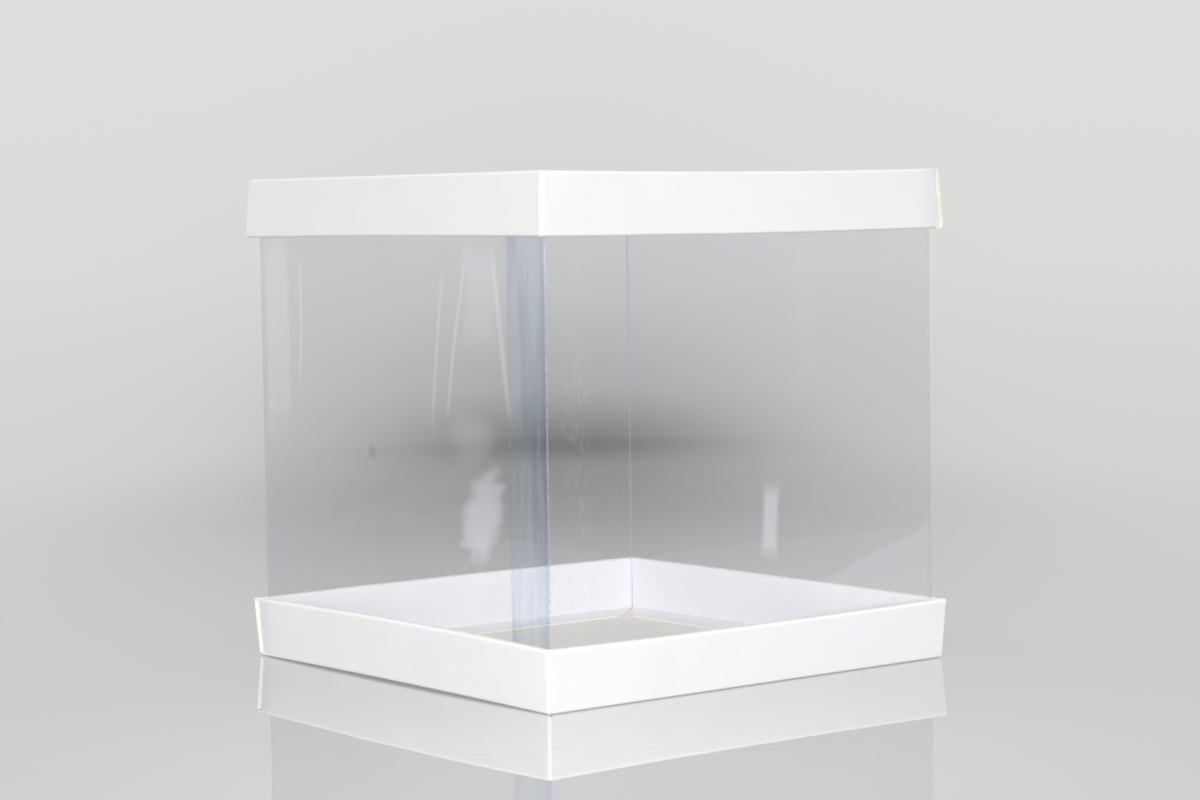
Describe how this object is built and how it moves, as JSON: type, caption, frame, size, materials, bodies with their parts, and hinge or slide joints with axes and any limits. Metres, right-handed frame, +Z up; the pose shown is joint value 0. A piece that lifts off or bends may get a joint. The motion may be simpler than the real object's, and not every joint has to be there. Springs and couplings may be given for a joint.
{
  "type": "clear favour box",
  "caption": "Square clear film sleeve standing in a shallow folded white board tray, with a matching lift-off lid tray.",
  "frame": {"origin": "middle of the underside of the base tray, on the surface that the box stands on", "axes": "+Z up through the lid, front towards -Y, +X to the right; the sleeve's glued lap is at the front left corner"},
  "size_m": [0.1564, 0.1564, 0.1525],
  "materials": {
    "board_outside": "satin",
    "board_inside": "matte",
    "film": "gloss"
  },
  "bodies": {
    "base": {"base_floor": "board_outside", "base_front_wall": "board_outside", "base_back_wall": "board_outside", "base_left_wall": "board_outside", "base_right_wall": "board_outside", "base_front_turn_in": "board_inside", "base_back_turn_in": "board_inside", "base_left_turn_in": "board_inside", "base_right_turn_in": "board_inside", "base_front_flap": "board_inside", "base_back_flap": "board_inside", "base_left_flap": "board_inside", "base_right_flap": "board_inside", "base_front_left_tab": "board_outside", "base_front_right_tab": "board_outside", "base_back_left_tab": "board_outside", "base_back_right_tab": "board_outside"},
    "sleeve": {"sleeve_front_panel": "film", "sleeve_right_panel": "film", "sleeve_back_panel": "film", "sleeve_left_panel": "film", "sleeve_glue_lap": "film"},
    "lid": {"lid_top": "board_outside", "lid_front_wall": "board_outside", "lid_back_wall": "board_outside", "lid_left_wall": "board_outside", "lid_right_wall": "board_outside", "lid_front_turn_in": "board_inside", "lid_back_turn_in": "board_inside", "lid_left_turn_in": "board_inside", "lid_right_turn_in": "board_inside", "lid_front_flap": "board_inside", "lid_back_flap": "board_inside", "lid_left_flap": "board_inside", "lid_right_flap": "board_inside", "lid_front_left_tab": "board_outside", "lid_front_right_tab": "board_outside", "lid_back_left_tab": "board_outside", "lid_back_right_tab": "board_outside"}
  },
  "joints": [
    {"name": "sleeve_lift", "type": "slide", "parent": "base", "child": "sleeve", "axis": [0, 0, 1], "range_m": [0, 0.06]},
    {"name": "lid_lift", "type": "slide", "parent": "sleeve", "child": "lid", "axis": [0, 0, 1], "range_m": [0, 0.06]}
  ]
}
